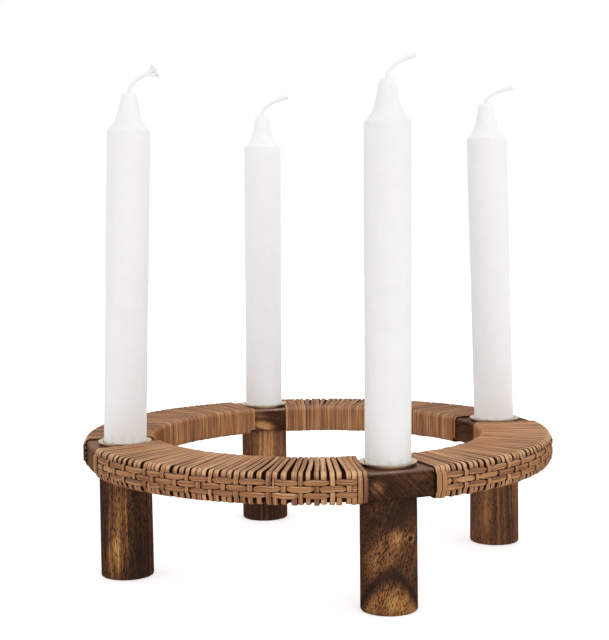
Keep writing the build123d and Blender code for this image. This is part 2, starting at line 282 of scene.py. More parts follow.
def stained_acacia(
    name,
    centre,
    heading,
    flashes,
    level,
    stripes,
    spacing=RING_SPACING,
    pores=0.3,
    stops=GOLDEN_STOPS,
    tilt=0.0,
    arch=None,
    gloss=SATIN_GLOSS,
    top_gloss=SATIN_GLOSS,
    gloss_colour=WHITE,
    rough=OILED_ROUGHNESS,
    bare_half=None,
):
    """Dark stained acacia for a piece about a centre in millimetres, seen from a heading.

    Level is how golden it is in general, stripes how strongly its growth rings show at their spacing, pores
    how dark its pores are, gloss how much it shines and rough how softly. A flash is a golden place: (right,
    up, half width, half height, turn in degrees, strength), in millimetres from the centre, and a dark one
    has a negative strength. The grain runs up, tilted by some degrees to the right. An arch is the top of a
    cone of sapwood: (height of its apex, drop per square millimetre, strength). Beyond a bare half width,
    cane hides the wood, and top gloss is how much a bare top shines.
    """
    material, tree, shader = new_material(name)
    turn = Matrix.Rotation(-heading, 3, "Z")
    place = add_node(tree, "TexCoord").outputs["Object"]
    local = add_node(
        tree,
        "Mapping",
        {
            "Vector": place,
            "Scale": (1 / MM,) * 3,
            "Rotation": turn.to_euler(),
            "Location": -(turn @ Vector(centre)),
        },
    ).outputs["Vector"]
    leaning = {"Vector": local, "Rotation": (0.0, math.radians(-tilt), 0.0)}
    grain = add_node(tree, "Mapping", leaning).outputs["Vector"]
    # The warp bends rings and pores together, as a branch or a wave in the trunk does
    slow = add_node(
        tree,
        "VectorMath",
        {0: grain, 1: (1 / FIGURE_WIDTH, 1 / FIGURE_WIDTH, 1 / FIGURE_LENGTH)},
        operation="MULTIPLY",
    )
    swirl = add_node(tree, "TexNoise", {"Vector": slow.outputs[0], "Scale": SWIRL_SCALE, "Detail": 3.0})
    pair = {0: swirl.outputs["Color"], 1: (0.5, 0.5, 0.5)}
    centred = add_node(tree, "VectorMath", pair, operation="SUBTRACT")
    warped = add_node(
        tree, "VectorMath", {0: centred.outputs[0], 1: (WARP, WARP, 0.0), 2: grain}, operation="MULTIPLY_ADD"
    ).outputs[0]
    # Growth rings: one line of noise, read at the distance from a pith line beside the piece
    from_pith = add_node(tree, "VectorMath", {0: warped, 1: PITH_PLACE}, operation="ADD")
    pair = {0: from_pith.outputs[0], 1: (1.0, 1.0, 0.0)}
    from_pith = add_node(tree, "VectorMath", pair, operation="MULTIPLY")
    reach = add_node(tree, "VectorMath", {0: from_pith.outputs[0]}, operation="LENGTH")
    rings = add_node(
        tree,
        "TexNoise",
        {"W": reach.outputs["Value"], "Scale": 1 / spacing, "Detail": 4.0, "Roughness": RING_GRIT},
        noise_dimensions="1D",
    )
    # Slow colour change from heartwood to sapwood
    cloud = add_node(tree, "TexNoise", {"Vector": slow.outputs[0], "Scale": CLOUD_SCALE, "Detail": 2.0})
    gold = add_node(tree, "Math", {0: rings.outputs["Fac"], 1: 0.5}, operation="SUBTRACT").outputs[0]
    gold = add_node(tree, "Math", {0: gold, 1: stripes, 2: level}, operation="MULTIPLY_ADD").outputs[0]
    clouds = add_node(tree, "Math", {0: cloud.outputs["Fac"], 1: 0.5}, operation="SUBTRACT").outputs[0]
    gold = add_node(tree, "Math", {0: clouds, 1: CLOUD_DEPTH, 2: gold}, operation="MULTIPLY_ADD").outputs[0]
    # Golden flashes, each an ellipse that fades towards its rim
    for right, up, half_width, half_height, lean, strength in flashes:
        spot = add_node(
            tree,
            "Mapping",
            {
                "Vector": local,
                "Location": (right, 0.0, up),
                "Rotation": (0.0, math.radians(lean), 0.0),
                "Scale": (half_width, THROUGH, half_height),
            },
            vector_type="TEXTURE",
        )
        far = add_node(tree, "VectorMath", {0: spot.outputs["Vector"]}, operation="LENGTH")
        near = add_node(
            tree,
            "MapRange",
            {
                "Value": far.outputs["Value"],
                "From Min": FLASH_ENDS[0],
                "From Max": FLASH_ENDS[1],
                "To Max": strength,
            },
            interpolation_type="SMOOTHSTEP",
        )
        gold = add_node(tree, "Math", {0: gold, 1: near.outputs["Result"]}, operation="ADD").outputs[0]
    if arch:
        apex, drop, strength = arch
        spread = add_node(tree, "SeparateXYZ", {"Vector": local})
        square = add_node(tree, "Math", {0: spread.outputs["X"], 1: 2.0}, operation="POWER")
        bend = {0: square.outputs[0], 1: drop, 2: spread.outputs["Z"]}
        above = add_node(tree, "Math", bend, operation="MULTIPLY_ADD")
        above = add_node(tree, "Math", {0: above.outputs[0], 1: apex}, operation="SUBTRACT").outputs[0]
        inside = add_node(
            tree,
            "MapRange",
            {"Value": above, "From Min": ARCH_ENDS[0], "From Max": ARCH_ENDS[1], "To Max": strength},
            interpolation_type="SMOOTHSTEP",
        )
        rim = add_node(tree, "Math", {0: above, 1: ARCH_RIM}, operation="SUBTRACT")
        rim = add_node(tree, "Math", {0: rim.outputs[0]}, operation="ABSOLUTE")
        rim = add_node(
            tree,
            "MapRange",
            {
                "Value": rim.outputs[0],
                "From Min": ARCH_RIM_ENDS[0],
                "From Max": ARCH_RIM_ENDS[1],
                "To Max": ARCH_RIM_SHARE * strength,
            },
            interpolation_type="SMOOTHSTEP",
        )
        gold = add_node(tree, "Math", {0: gold, 1: inside.outputs["Result"]}, operation="ADD").outputs[0]
        gold = add_node(tree, "Math", {0: gold, 1: rim.outputs["Result"]}, operation="ADD").outputs[0]
    # Pores: short dark dashes along the grain
    dash = add_node(
        tree,
        "VectorMath",
        {0: warped, 1: (1 / PORE_WIDTH, 1 / PORE_WIDTH, 1 / PORE_LENGTH)},
        operation="MULTIPLY",
    )
    dashes = add_node(tree, "TexNoise", {"Vector": dash.outputs[0], "Scale": 1.0, "Detail": 1.0})
    dark = add_node(
        tree,
        "MapRange",
        {
            "Value": dashes.outputs["Fac"],
            "From Min": PORE_ENDS[0],
            "From Max": PORE_ENDS[1],
            "To Min": pores,
            "To Max": 0.0,
        },
        interpolation_type="SMOOTHSTEP",
    ).outputs["Result"]
    gold = add_node(tree, "Math", {0: gold, 1: dark}, operation="SUBTRACT").outputs[0]
    if bare_half:
        # Under the cane the wood is painted darker, as the shade in the gaps between strips, and it has no
        # gloss
        beside = add_node(tree, "SeparateXYZ", {"Vector": local})
        beside = add_node(tree, "Math", {0: beside.outputs["X"]}, operation="ABSOLUTE")
        hidden = {"Value": beside.outputs[0], "From Min": bare_half, "From Max": bare_half + HIDDEN_FADE}
        hidden = add_node(tree, "MapRange", hidden).outputs["Result"]
        darker = {0: hidden, 1: UNDER_CANE_PAINTED_SHADE, 2: gold}
        gold = add_node(tree, "Math", darker, operation="MULTIPLY_ADD").outputs[0]
        facing = add_node(tree, "SeparateXYZ", {"Vector": add_node(tree, "NewGeometry").outputs["Normal"]})
        gloss = {"Value": facing.outputs["Z"], "To Min": gloss, "To Max": top_gloss}
        gloss = add_node(tree, "MapRange", gloss).outputs["Result"]
        gloss = {"Value": hidden, "To Min": gloss, "To Max": 0.0}
        gloss = add_node(tree, "MapRange", gloss).outputs["Result"]
    colour = colour_stops(add_node(tree, "ValToRGB", {"Fac": gold}), stops)
    tree.links.new(colour.outputs["Color"], shader.inputs["Base Color"])
    sheen = {"Value": dashes.outputs["Fac"], "To Min": rough[0], "To Max": rough[1]}
    sheen = add_node(tree, "MapRange", sheen)
    dents = {"Height": dashes.outputs["Fac"], "Strength": PORE_BUMP, "Distance": PORE_DEPTH * MM}
    bump = add_node(tree, "Bump", dents)
    tree.links.new(bump.outputs["Normal"], shader.inputs["Normal"])
    add_gloss(tree, shader, gloss, sheen.outputs["Result"], bump.outputs["Normal"], gloss_colour)
    return material


def middle(node_name):
    """Centre of a node's box, in millimetres."""
    low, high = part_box(node_name)
    return (low + high) / 2 / MM


print("acacia pores are drawn", PORE_WIDTH, "mm wide")

# %% Legs and blocks of the ring
SIDES = ("front", "right", "back", "left")
LEGS = {
    "front": {
        "flashes": [
            (-3.0, 0.5, 10.5, 17.0, 32, 0.3),
            (2.6, 9.5, 5.5, 6.0, 30, 0.3),
            (9.4, 7.8, 3.4, 3.4, 0, 0.3),
            (9.4, 7.8, 1.5, 1.5, 0, -0.9),
            (1.0, -21.0, 6.0, 7.0, 0, 0.2),
            (-7.0, 22.0, 6.0, 6.0, 20, 0.2),
            (0.0, 25.0, 30.0, 16.0, 0, -0.2),
        ],
        "level": 0.43,
        "stripes": 0.4,
        "pores": 0.56,
        "tilt": 24.0,
        "arch": (-9.0, 0.09, 0.36),
    },
    "right": {
        "flashes": [
            (-5.2, 0.0, 4.0, 50.0, 2, 0.2),
            (1.0, -8.0, 2.4, 30.0, -3, 0.1),
            (6.0, 18.0, 4.0, 30.0, 0, -0.16),
        ],
        "level": 0.55,
        "stripes": 0.9,
        "spacing": 2.0,
        "pores": 0.22,
        "stops": REDDISH_STOPS,
    },
    "back": {
        "flashes": [
            (0.0, 16.0, 8.0, 26.0, 0, 0.36),
            (5.0, 10.0, 1.6, 30.0, 0, 0.2),
            (0.0, -22.0, 30.0, 14.0, 0, -0.26),
        ],
        "level": 0.56,
        "stripes": 1.1,
        "spacing": 1.8,
        "pores": 0.2,
        "stops": REDDISH_STOPS,
    },
    "left": {
        "flashes": [
            (-3.0, 4.0, 6.5, 42.0, 2, 0.36),
            (-2.2, 2.0, 1.2, 36.0, 2, 0.2),
            (-5.0, -18.0, 8.5, 18.0, 20, 0.26),
            (1.6, 0.0, 0.9, 30.0, 0, 0.26),
            (9.5, 2.0, 5.0, 60.0, 0, -0.12),
        ],
        "level": 0.36,
        "stripes": 0.9,
        "spacing": 1.5,
        "pores": 0.4,
    },
}
for side, cut in LEGS.items():
    leg = f"leg_{side}"
    wear(leg, stained_acacia(f"stained_acacia_{leg}", middle(leg), CAMERA_HEADING, **cut))

BARE_HALF_WIDTH = 15.5
BLOCK_PORES = 0.2
OIL_TINT = "#ffd5c0"
BLOCKS = {  # the ring's bare blocks, with the heading in degrees that each faces
    "front": {
        "heading": 0.0,
        "flashes": [(-11.5, 0.0, 5.0, 5.5, 0, 0.42), (8.5, 3.3, 7.0, 2.6, 0, 0.2)],
        "level": 0.21,
        "stripes": 0.9,
        "spacing": 1.1,
        "tilt": -45.0,
    },
    "right": {"heading": 90.0, "flashes": [], "level": 0.34, "stripes": 0.7, "tilt": -78.0, "top_gloss": 0.1},
    "back": {
        "heading": 0.0,
        "flashes": [(-5.0, -3.2, 11.0, 4.2, 14, 0.85), (-8.0, 3.0, 7.0, 2.5, 14, 0.25)],
        "level": 0.26,
        "stripes": 0.9,
        "spacing": 1.3,
        "tilt": -75.0,
        "top_gloss": 0.3,
    },
    "left": {"heading": 270.0, "flashes": [], "level": 0.38, "stripes": 0.7, "tilt": 8.0, "gloss": 0.045},
}
for side, cut in BLOCKS.items():
    centre = middle(f"leg_{side}")
    centre.z = middle(f"ring_segment_{side}").z
    facing = math.radians(cut.pop("heading"))
    finish = stained_acacia(
        f"stained_acacia_ring_{side}",
        centre,
        facing,
        stops=REDDISH_STOPS,
        pores=BLOCK_PORES,
        gloss_colour=OIL_TINT,
        rough=RUBBED_ROUGHNESS,
        bare_half=BARE_HALF_WIDTH,
        **{"top_gloss": TOP_GLOSS, **cut},
    )
    wear(f"ring_segment_{side}", finish)
print("acacia on", len(LEGS), "legs and", len(BLOCKS), "ring segments")

# %% [markdown]
# ## Cups, screws and dowels
# The candle cups are drawn from thin pale brass. Brass is a true metal, so its colour sits in the reflection
# and the shader's Metallic is 1. Drawing leaves the sheet a little dull and uneven, which fine noise in the
# colour and the roughness gives. The screws are zinc plated steel, and the dowels raw beech. They are hidden
# inside.

# %% Brass, zinc and beech
DRAW_MARK = 0.5
BRASS_ROUGHNESS = (0.3, 0.48)
brass, tree, shader = new_material("drawn_pale_brass", Metallic=1.0)
marks = mottle(tree, shader, DRAW_MARK, 3.0, [(0.25, "#b6a284"), (0.75, "#cfbca4")])
rough = {"Value": marks, "To Min": BRASS_ROUGHNESS[0], "To Max": BRASS_ROUGHNESS[1]}
tree.links.new(add_node(tree, "MapRange", rough).outputs["Result"], shader.inputs["Roughness"])

PLATING_GRAIN = 0.8
zinc, tree, shader = new_material("zinc_plated_steel", Metallic=1.0, Roughness=0.38)
mottle(tree, shader, PLATING_GRAIN, 2.0, [(0.3, "#b9bbbd"), (0.7, "#d3d4d4")])

FLECK_LENGTH = 2.0
beech, tree, shader = new_material("raw_turned_beech", Roughness=0.7)
mottle(tree, shader, FLECK_LENGTH, 3.0, [(0.3, "#b98d64"), (0.7, "#d3ab80")])

QUARTERS = {"front_right": -45.0, "back_right": 45.0, "back_left": 135.0, "front_left": 225.0}
for side in SIDES:
    wear(f"candle_cup_{side}", brass)
    wear(f"leg_screw_{side}", zinc)
for quarter in QUARTERS:
    wear(f"joint_dowels_{quarter}", beech)
print("metal and beech on", 2 * len(SIDES) + len(QUARTERS), "nodes")

# %% [markdown]
# ## White wax
# Candle wax is smooth, a little milky and never quite even: light goes in and comes out again nearby, which
# softens its shadows. Subsurface scattering gives that, with a radius of a few millimetres. A faint cloudy
# noise in the colour and an even fainter one in the surface keep it from looking like plastic.

# %% White stearin wax
CLOUD_SIZE = 9.0
RIPPLE_SIZE = 2.5
RIPPLE_BUMP = 0.15
RIPPLE_DEPTH = 0.06
WAX_ROUGHNESS = (0.42, 0.56)
WAX_GLOSS = 0.02
MILKY_REACH = 3.0  # how far light wanders in the wax
WAX_TINTS_WITH_PAINTED_LIGHT = {  # each candle's white is painted a little lighter or darker, as painted light and shade: the front one darkest, the back one palest
    "front": ("#eeedec", "#f1f0ef"),
    "right": ("#f2f1f0", "#f5f4f3"),
    "back": ("#f6f6f5", "#f9f8f8"),
    "left": ("#f1f0ef", "#f4f3f2"),
}
for side, (dull, bright) in WAX_TINTS_WITH_PAINTED_LIGHT.items():
    wax, tree, shader = new_material(
        f"pressed_white_stearin_painted_light_{side}",
        IOR=1.44,
        Subsurface_Weight=0.35,
        Subsurface_Radius=(1.0, 0.9, 0.75),
        Subsurface_Scale=MILKY_REACH * MM,
    )
    cloud = mottle(tree, shader, CLOUD_SIZE, 3.0, [(0.3, dull), (0.7, bright)])
    rough = {"Value": cloud, "To Min": WAX_ROUGHNESS[0], "To Max": WAX_ROUGHNESS[1]}
    rough = add_node(tree, "MapRange", rough)
    place = add_node(tree, "TexCoord").outputs["Object"]
    ripple = add_node(tree, "TexNoise", {"Vector": place, "Scale": 1 / (RIPPLE_SIZE * MM), "Detail": 2.0})
    dents = {"Height": ripple.outputs["Fac"], "Strength": RIPPLE_BUMP, "Distance": RIPPLE_DEPTH * MM}
    bump = add_node(tree, "Bump", dents)
    tree.links.new(bump.outputs["Normal"], shader.inputs["Normal"])
    add_gloss(tree, shader, WAX_GLOSS, rough.outputs["Result"], bump.outputs["Normal"])
    wear(f"candle_{side}", wax)
print("wax on", len(SIDES), "candles")

# %% [markdown]
# ## Split cane
# The cane is the outer skin of rattan, split into flat strips: tan, with fine fibres along it and a rind
# that shines softly where it bends over an edge. Its fibres must follow each strip round the ring, so the
# mesh carries its own coordinates: every point stores how far across and along the strip it lies, and which
# strip it belongs to. The material reads them, so the grain bends with the cane.

# %% Split cane finish
CANE_LAYERS = {  # noise stretched along the strip: its width and length in millimetres, and its depth
    "fibre": (0.32, 22.0, 0.2),
    "streak": (0.9, 45.0, 0.24),
    "patch": (3.6, 30.0, 0.14),
}
LAYER_SCALE = 0.8
LAYER_GRIT = 0.6
LAYER_ENDS = (0.32, 0.68)
STRIP_SHIFT = 7.31  # how far the noise moves on from one strip to the next
# Dark colour of the strips' edges: dirt, and painted shade of the gaps between strips
EDGE_DIRT_AND_SHADE = "#1d0f07"
EDGE_DIRT_AND_SHADE_ENDS = (0.74, 0.98)  # from the middle of a strip to its edge
EDGE_DIRT_AND_SHADE_SHARE = 0.96
CANE_ROUGHNESS = (0.36, 0.16)
FIBRE_BUMP = 0.5
FIBRE_DEPTH = 0.12
CANE_STOPS = [(0.0, "#4e2c15"), (0.25, "#7b4b27"), (0.5, "#a06b3f"), (0.75, "#bb8658"), (1.0, "#d8aa7b")]
GLINT_SHARES = (0.028, 0.075)  # on upright faces, and on top where hands have polished it
cane, tree, shader = new_material("split_rattan_cane")
run = add_node(tree, "Attribute", attribute_name="cane_run").outputs["Vector"]
shade = add_node(tree, "Attribute", attribute_name="cane_tone_and_painted_light").outputs["Fac"]
edge = add_node(tree, "Attribute", attribute_name="cane_edge").outputs["Fac"]
layers = {}
for name, (width, length, depth) in CANE_LAYERS.items():
    stretch = {0: run, 1: (1 / width, 1 / length, STRIP_SHIFT)}
    stretched = add_node(tree, "VectorMath", stretch, operation="MULTIPLY").outputs[0]
    grit = {"Vector": stretched, "Scale": LAYER_SCALE, "Detail": 2.0, "Roughness": LAYER_GRIT}
    layers[name] = add_node(tree, "TexNoise", grit).outputs["Fac"]
    ends = {"From Min": LAYER_ENDS[0], "From Max": LAYER_ENDS[1], "To Min": -depth, "To Max": depth}
    part = add_node(tree, "MapRange", {"Value": layers[name], **ends})
    shade = add_node(tree, "Math", {0: shade, 1: part.outputs["Result"]}, operation="ADD").outputs[0]
colour = colour_stops(add_node(tree, "ValToRGB", {"Fac": shade}), CANE_STOPS)
# The split edges are rough and hold dirt, and the shade of the deep gaps between strips is painted on them
# too, so they are darker than the rind
edge_dirt_and_shade = add_node(
    tree,
    "MapRange",
    {"Value": edge, "From Min": EDGE_DIRT_AND_SHADE_ENDS[0], "From Max": EDGE_DIRT_AND_SHADE_ENDS[1], "To Max": EDGE_DIRT_AND_SHADE_SHARE},
    interpolation_type="SMOOTHSTEP",
)
colour = add_node(
    tree,
    "Mix",
    {"Factor": edge_dirt_and_shade.outputs["Result"], "A": colour.outputs["Color"], "B": linear(EDGE_DIRT_AND_SHADE)},
    data_type="RGBA",
)
tree.links.new(colour.outputs["Result"], shader.inputs["Base Color"])
sheen = {"Value": layers["streak"], "To Min": CANE_ROUGHNESS[0], "To Max": CANE_ROUGHNESS[1]}
sheen = add_node(tree, "MapRange", sheen)
dents = {"Height": layers["fibre"], "Strength": FIBRE_BUMP, "Distance": FIBRE_DEPTH * MM}
bump = add_node(tree, "Bump", dents)
tree.links.new(bump.outputs["Normal"], shader.inputs["Normal"])
facing = add_node(tree, "SeparateXYZ", {"Vector": add_node(tree, "NewGeometry").outputs["Normal"]})
share = add_node(
    tree, "MapRange", {"Value": facing.outputs["Z"], "To Min": GLINT_SHARES[0], "To Max": GLINT_SHARES[1]}
)
add_gloss(tree, shader, share.outputs["Result"], sheen.outputs["Result"], bump.outputs["Normal"])
print("cane finish: fibres", CANE_LAYERS["fibre"][0], "mm wide")

# %% [markdown]
# ## Building a strip of cane
# A strip has a flat underside and a domed rind with two shallow grooves. A function below drags that section
# along a list of stations. Each station says where the strip's underside is, which way is outward and which
# way is sideways, how wide the strip is there, and how far it domes. A winding's turns follow each other in
# one mesh, which lets the winding be one unbroken length, as it is on the real ring.

# %% Strip builder
UP = Vector((0, 0, 1))
SHARP_ANGLE = math.radians(62)
STRIP_SHARES = [  # across from the middle, as shares of the width, and up, as shares of the thickness
    (-0.5, 0.25), (-0.45, 0.66), (-0.34, 0.93), (-0.19, 0.88), (-0.02, 1.0),
    (0.16, 0.9), (0.33, 0.95), (0.45, 0.66), (0.5, 0.25),
    (0.42, 0.0), (-0.42, 0.0),
]


def add_skin(faces, first, rings, section):
    """Adds the faces of a closed tube: its rings of points, counted from the first one, and both its ends."""
    for low in range(first, first + (rings - 1) * section, section):
        for place in range(section):
            following = (place + 1) % section
            faces.append((low + place, low + following, low + section + following, low + section + place))
    end = first + (rings - 1) * section
    faces.append(tuple(range(first + section - 1, first - 1, -1)))
    faces.append(tuple(range(end, end + section)))


def add_strip(store, stations, number):
    """Adds one closed strip to a store of points, faces, runs and tones.

    A station is a dict with place, out and side vectors, and width, thick, dome and tone numbers. A dome of 1
    gives the full section, and a smaller one lifts its edges.
    """
    first = len(store["points"])
    along = 0.0
    last_place = stations[0]["place"]
    for station in stations:
        along += (station["place"] - last_place).length
        last_place = station["place"]
        for across_share, up_share in STRIP_SHARES:
            across = across_share * station["width"]
            up = (1 - station["dome"] * (1 - up_share)) * station["thick"] if up_share else 0.0
            store["points"].append(station["place"] + station["side"] * across + station["out"] * up)
            store["runs"].append((across / MM, along / MM, number))
            # How near a point is to the strip's edge: where the dirt and the painted shade of the gaps lie
            store["edges"].append(2 * abs(across_share) * station["dome"])
            store["tones"].append(station["tone"])
    add_skin(store["faces"], first, len(stations), len(STRIP_SHARES))


def new_store():
    return {"points": [], "faces": [], "runs": [], "tones": [], "edges": []}


def smooth_piece(name, mesh, material):
    """An object with smooth faces that keeps its sharp edges."""
    mesh.shade_smooth()
    mesh.set_sharp_from_angle(angle=SHARP_ANGLE)
    mesh.materials.append(material)
    return add_object(name, mesh)


def cane_piece(name, store, flip=False):
    """Turns a store into a cane object that rides on the holder."""
    mesh = bpy.data.meshes.new(name)
    mesh.from_pydata(store["points"], [], store["faces"])
    if flip:
        mesh.flip_normals()
    runs = mesh.attributes.new("cane_run", "FLOAT_VECTOR", "POINT")
    runs.data.foreach_set("vector", [value for run in store["runs"] for value in run])
    for attribute, key in (("cane_tone_and_painted_light", "tones"), ("cane_edge", "edges")):
        values = mesh.attributes.new(attribute, "FLOAT", "POINT")
        values.data.foreach_set("value", store[key])
    piece = smooth_piece(name, mesh, cane)
    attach(piece, "holder")
    return piece


def smooth_step(share):
    share = min(max(share, 0.0), 1.0)
    return share * share * (3 - 2 * share)


def shares(count, stride=1):
    """Even steps from 0 to 1."""
    return [step / count for step in range(0, count + 1, stride)]


def swing(angle):
    """The outward and the sideways direction at an angle on the ring."""
    return Vector((math.cos(angle), math.sin(angle), 0)), Vector((-math.sin(angle), math.cos(angle), 0))


print("a strip has", len(STRIP_SHARES), "points round its section")

# %% [markdown]
# ## Where the turns lie
# Each quarter of the ring carries 47 turns. On the outer face they lie side by side with small uneven gaps.
# The inner face is a third shorter, so there the turns are pressed together and the gaps nearly close. The
# weavers go over three turns and under one. So every fourth turn stands out over the upper and lower weavers,
# and the turn midway between two of those over the middle one. The two turns at each end cover the weavers'
# ends.

# %% Turns of a winding
ring_low, ring_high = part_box("ring_segment_front")
RING_OUTER = -ring_low.y
RING_INNER = -ring_high.y * math.sqrt(2)  # the segment's ends are 45 degrees from its middle
RING_BOTTOM = ring_low.z
RING_TOP = ring_high.z
RING_EDGE = 1.6 * MM
CANE_GAP = 0.1 * MM
CANE_THICK = 0.85 * MM
TURNS = 47
END_TURNS = 2
BARE_HALF_ANGLE = math.radians(7.64)
SECTION_ANGLE = math.radians(90) - 2 * BARE_HALF_ANGLE
TURN_WIDTHS = (2.25, 2.85)
GAP_KINDS = ((0.05, 0.35), (0.6, 1.2), (1.1, 2.3))  # some turns touch, and others stand apart
END_GAP = 0.03
CELL_SHARES = (0.85, 1.15)  # how unevenly the turns share the inner face
FRONT_GAP_SHARES = (0.03, 0.12, 0.35)  # how much of a gap is left at the inner edge
BACK_GAP_SHARES = (0.02, 0.05, 0.1)
INNER_SPREAD = 0.28 * MM
# How the windings differ on the inner face: how far a turn still domes there, how much of its thickness is
# left, and in millimetres how far the turns pile up, start early and end late. At the back they are drawn
# tight, which presses them flat and thin. Tone is how pale the cane is, and painted top light how much paler
# its top is painted, or darker where the number is negative, as painted light and shade on the top
WINDINGS = {
    "front_right": {"dome": 0.9, "thick": 1.0, "pile": 0.1, "lap": (0.0, 0.5), "tone": 0.56, "painted_top_light": 0.08},
    "back_right": {"dome": 0.35, "thick": 0.6, "pile": 0.25, "lap": (-1.6, 3.0), "tone": 0.44, "painted_top_light": -0.04},
    "back_left": {"dome": 0.35, "thick": 0.6, "pile": 0.25, "lap": (1.0, 0.5), "tone": 0.43, "painted_top_light": 0.01},
    "front_left": {"dome": 0.9, "thick": 1.0, "pile": 0.9, "lap": (1.0, 1.8), "tone": 0.5, "painted_top_light": 0.16},
}
BOW_CHANGE = 0.32  # a turn bows sideways on top, much as its neighbour does, in millimetres
BOW_KEPT_SHARE = 0.6
END_BOW = 0.6 * MM
TONE_SPREAD = 0.08
OVER_ROWS = {"end": (0, 1, 2), "none": (), "middle": (1,), "outer": (0, 2)}


def turn_kind(number):
    """Which weavers a turn passes over: all of them at an end, none, the middle one or the outer two."""
    if number < END_TURNS or number >= TURNS - END_TURNS:
        return "end"
    return ("none", "middle", "none", "outer")[(number - END_TURNS) % 4]


def lay_out_turns(chance, quarter):
    """Angles, widths and tone of each turn of one winding, counted from its first edge."""
    early, late = WINDINGS[quarter]["lap"]
    left_over = FRONT_GAP_SHARES if quarter.startswith("front") else BACK_GAP_SHARES
    widths = [chance.uniform(*TURN_WIDTHS) * MM for _ in range(TURNS)]
    gaps = [chance.uniform(*chance.choice(GAP_KINDS)) for _ in range(TURNS - 1)]
    for end in range(END_TURNS):
        gaps[end] = gaps[-1 - end] = END_GAP
    unit = (SECTION_ANGLE * RING_OUTER - sum(widths)) / sum(gaps)
    inner_gaps = [chance.choice(left_over) * gap * unit for gap in gaps] + [END_GAP * unit]
    cells = [(width + gap) * chance.uniform(*CELL_SHARES) for width, gap in zip(widths, inner_gaps)]
    cell_unit = (SECTION_ANGLE + (early + late) * MM / RING_INNER) / sum(cells)
    edge = 0.0
    inner_edge = -early * MM / RING_INNER
    bow = 0.0
    for number in range(TURNS):
        cell = cells[number] * cell_unit
        bow = BOW_KEPT_SHARE * bow + chance.uniform(-BOW_CHANGE, BOW_CHANGE) * MM
        if turn_kind(number) == "end":
            bow = END_BOW if number < END_TURNS else -END_BOW  # round the cup's flange
        yield {
            "outer": (edge + widths[number] / 2) / RING_OUTER,
            "inner": inner_edge + cell / 2,
            "width": widths[number],
            "inner_width": cell * RING_INNER * widths[number] / (widths[number] + inner_gaps[number]),
            "tone": chance.gauss(WINDINGS[quarter]["tone"], TONE_SPREAD),
            "bow": bow,
            "spread": chance.uniform(0.0, 1.0) * INNER_SPREAD,
            "kind": turn_kind(number),
        }
        inner_edge += cell
        if number < TURNS - 1:
            edge += widths[number] + gaps[number] * unit


winding_turns = {}
for seed, quarter in enumerate(QUARTERS):
    winding_turns[quarter] = list(lay_out_turns(random.Random(seed), quarter))
print("turn pitch outside", round(SECTION_ANGLE * RING_OUTER / TURNS / MM, 2), "mm")

# %% [markdown]
# ## Winding the cane
# A turn starts low on the inner face, goes up, over the top, down the outer face and back under the ring to
# the next turn. Its route is worked out in the ring's section first, as a distance from the axis and a
# height, and then swung round the axis to the turn's angle. Over a weaver the route swells outward.

# %% Windings
FACE_STEP = 0.4 * MM
INNER_FACE_STRIDE = 4  # the inner face is straight, so it takes fewer stations
CORNER_STEPS = 5
TOP_STEPS = 14
ROW_PITCH = 2.9 * MM
ROW_HEIGHTS = [(RING_BOTTOM + RING_TOP) / 2 + shift * ROW_PITCH for shift in (1, 0, -1)]
WEAVER_WIDTH = 3.0 * MM
WEAVER_THICK = 0.8 * MM
WEAVER_DIP = 0.75 * MM
TURN_RISE = CANE_GAP + WEAVER_THICK + CANE_THICK - WEAVER_DIP
SWELL_CORE = 0.95 * MM  # half height of a swell's flat crest
SWELL_REACH = 1.95 * MM  # half height of its foot
SWELL_SLOPE = SWELL_REACH - SWELL_CORE
PRESSED_POWER = 1.5
LAST_SHARE = 0.6  # how far under the ring the last turn goes
PAINTED_BEND_HIGHLIGHT = 0.26  # painted highlight: how much paler the cane is painted where it bends over the ring's upper outer edge
# The same painted highlight, weaker, where the cane bends over the ring's upper inner edge
PAINTED_INNER_BEND_HIGHLIGHT = 0.1
LOOSENESS = 0.7 * MM  # how far the slackest turns hang below the ring at the front
LOOSE_POWER = 6
SLACK_STEP = 2.3


def swell(height, kind):
    """How far a turn stands out at a height on the outer face, as a share."""
    if kind == "end":
        beyond = [max(ROW_HEIGHTS[2] - height, height - ROW_HEIGHTS[0], 0.0)]
    else:
        beyond = [abs(height - ROW_HEIGHTS[row]) for row in OVER_ROWS[kind]]
    return 1 - min((smooth_step((far - SWELL_CORE) / SWELL_SLOPE) for far in beyond), default=1.0)


def section_route():
    """Places round the ring's section: distance, height, two numbers for outward, part and share of it."""
    route = []
    inner_centre, outer_centre = RING_INNER + RING_EDGE, RING_OUTER - RING_EDGE
    low_centre, high_centre = RING_BOTTOM + RING_EDGE, RING_TOP - RING_EDGE
    radius = RING_EDGE + CANE_GAP
    breadth = outer_centre - inner_centre
    rise = high_centre - low_centre
    face_steps = round(rise / FACE_STEP)

    def corner(centre_out, centre_up, start, end, part):
        for share in shares(CORNER_STEPS)[1:-1]:
            angle = math.radians(start + (end - start) * share)
            out, up = math.cos(angle), math.sin(angle)
            route.append((centre_out + radius * out, centre_up + radius * up, out, up, part, share))

    for share in shares(face_steps, INNER_FACE_STRIDE):
        route.append((RING_INNER - CANE_GAP, low_centre + share * rise, -1, 0, "inner", share))
    corner(inner_centre, high_centre, 180, 90, "inner")
    for share in shares(TOP_STEPS):
        route.append((inner_centre + share * breadth, RING_TOP + CANE_GAP, 0, 1, "top", share))
    corner(outer_centre, high_centre, 90, 0, "outer")
    for share in shares(face_steps):
        route.append((RING_OUTER + CANE_GAP, high_centre - share * rise, 1, 0, "outer", share))
    corner(outer_centre, low_centre, 0, -90, "outer")
    for share in shares(TOP_STEPS):
        route.append((outer_centre - share * breadth, RING_BOTTOM - CANE_GAP, 0, -1, "below", share))
    corner(inner_centre, low_centre, -90, -180, "next")
    return route


ROUTE = section_route()


